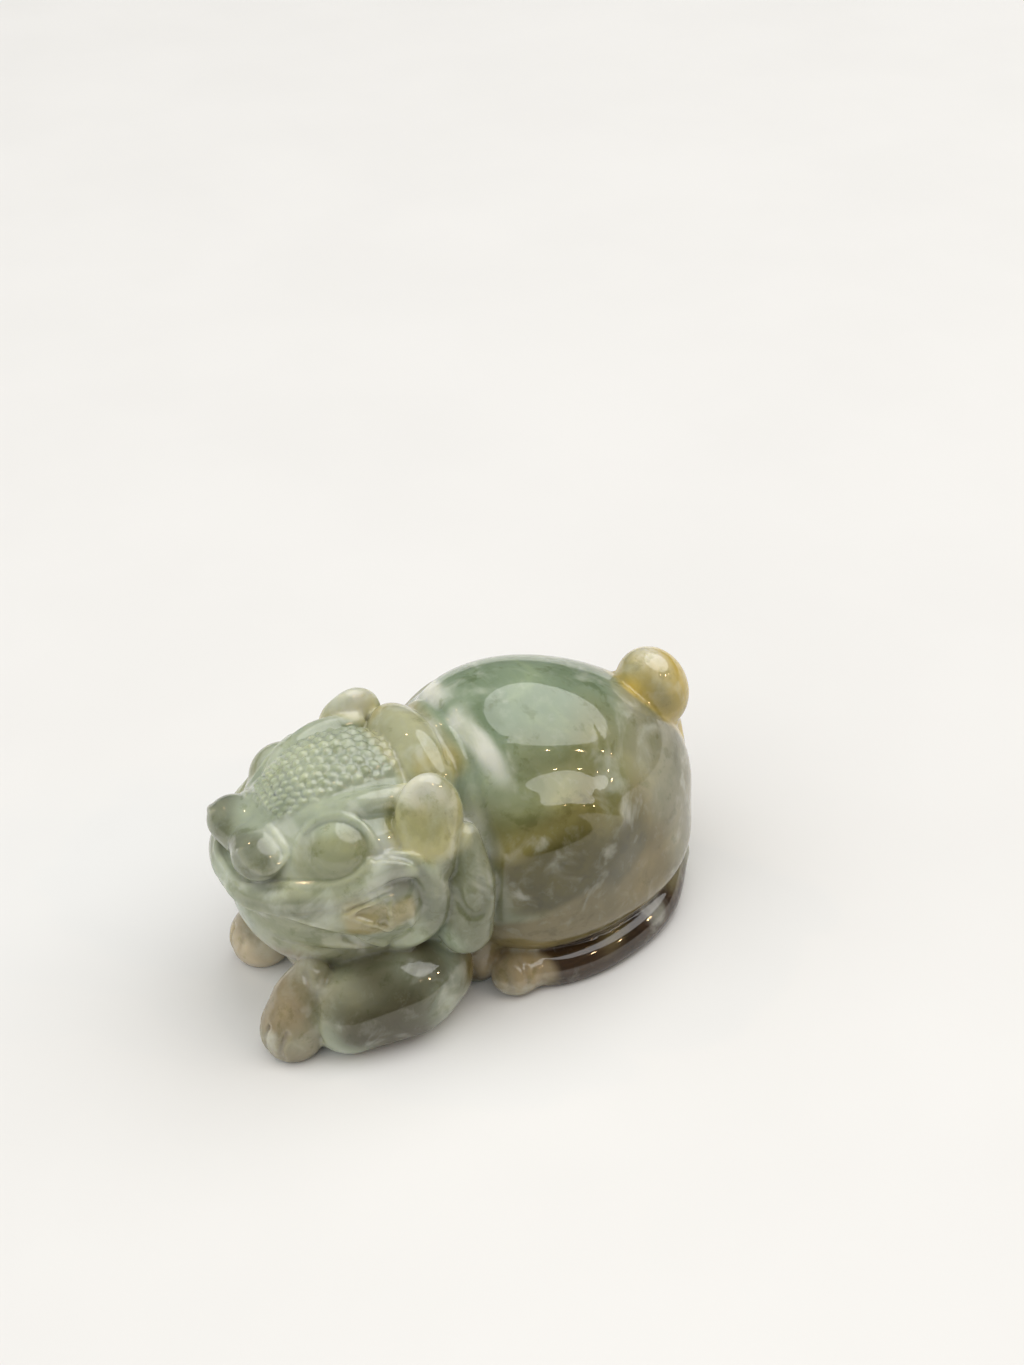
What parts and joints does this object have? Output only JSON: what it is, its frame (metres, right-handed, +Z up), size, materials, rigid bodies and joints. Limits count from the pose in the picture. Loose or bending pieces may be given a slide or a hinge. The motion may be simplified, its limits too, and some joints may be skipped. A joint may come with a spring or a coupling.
{
  "type": "animal carving",
  "caption": "Small polished jade carving of a crouching pixiu with a wide mouth, curled jowls, leaf-shaped ears and a bobbed tail.",
  "frame": {"origin": "on the surface it stands on, under the middle of its bounding box", "axes": "+Z up; -Y the way the animal faces; +X its own left side"},
  "size_m": [0.0256, 0.045, 0.0244],
  "materials": {
    "jade": "polished"
  },
  "bodies": {
    "root": {"jade_pixiu": "jade"}
  },
  "joints": []
}
